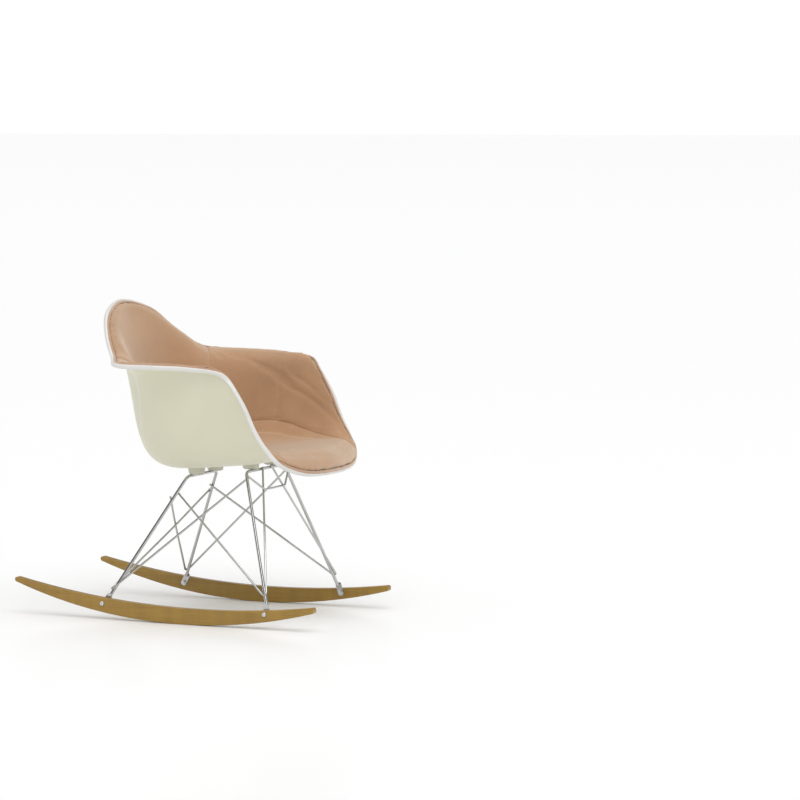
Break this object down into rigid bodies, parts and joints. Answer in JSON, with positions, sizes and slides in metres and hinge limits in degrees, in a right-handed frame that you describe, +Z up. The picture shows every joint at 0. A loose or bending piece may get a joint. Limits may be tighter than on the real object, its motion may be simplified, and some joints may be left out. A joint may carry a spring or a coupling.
{
  "type": "rocking chair",
  "caption": "Upholstered moulded tub armchair on a welded chromed wire base with curved maple rockers.",
  "frame": {"origin": "on the floor, under the middle of the base, on the line where the rockers touch the floor", "axes": "+Z up, the chair faces -Y, +X to the sitter's left"},
  "size_m": [0.6054, 0.8, 0.7587],
  "materials": {
    "shell_plastic": "cream moulded plastic with a soft sheen",
    "trim_plastic": "white glossy plastic band",
    "foam": "moulded polyurethane foam",
    "cover_fabric": "fine woven wool upholstery, terracotta pink",
    "piping_fabric": "sewn piping in the cover's cloth",
    "mount_rubber": "cream rubber, matte",
    "chromed_steel": "bright chromed steel wire",
    "zinc_steel": "zinc plated steel",
    "maple": "golden maple under a satin varnish"
  },
  "bodies": {
    "root": {"cover_piping": "piping_fabric", "edge_trim": "trim_plastic", "fabric_cover": "cover_fabric", "foam_pad": "foam", "foot_tab_front_left": "chromed_steel", "foot_tab_front_right": "chromed_steel", "foot_tab_rear_left": "chromed_steel", "foot_tab_rear_right": "chromed_steel", "front_brace": "chromed_steel", "front_leg_frame": "chromed_steel", "front_strut_left": "chromed_steel", "front_strut_right": "chromed_steel", "mount_inserts": "zinc_steel", "mount_plate_front_left": "chromed_steel", "mount_plate_front_right": "chromed_steel", "mount_plate_rear_left": "chromed_steel", "mount_plate_rear_right": "chromed_steel", "mount_screws": "zinc_steel", "rear_leg_frame": "chromed_steel", "rear_strut_left": "chromed_steel", "rear_strut_right": "chromed_steel", "rocker_left": "maple", "rocker_nuts": "zinc_steel", "rocker_right": "maple", "rocker_screws": "zinc_steel", "rocker_washers": "zinc_steel", "seat_shell": "shell_plastic", "shock_mount_front_left": "mount_rubber", "shock_mount_front_right": "mount_rubber", "shock_mount_rear_left": "mount_rubber", "shock_mount_rear_right": "mount_rubber"}
  },
  "joints": []
}
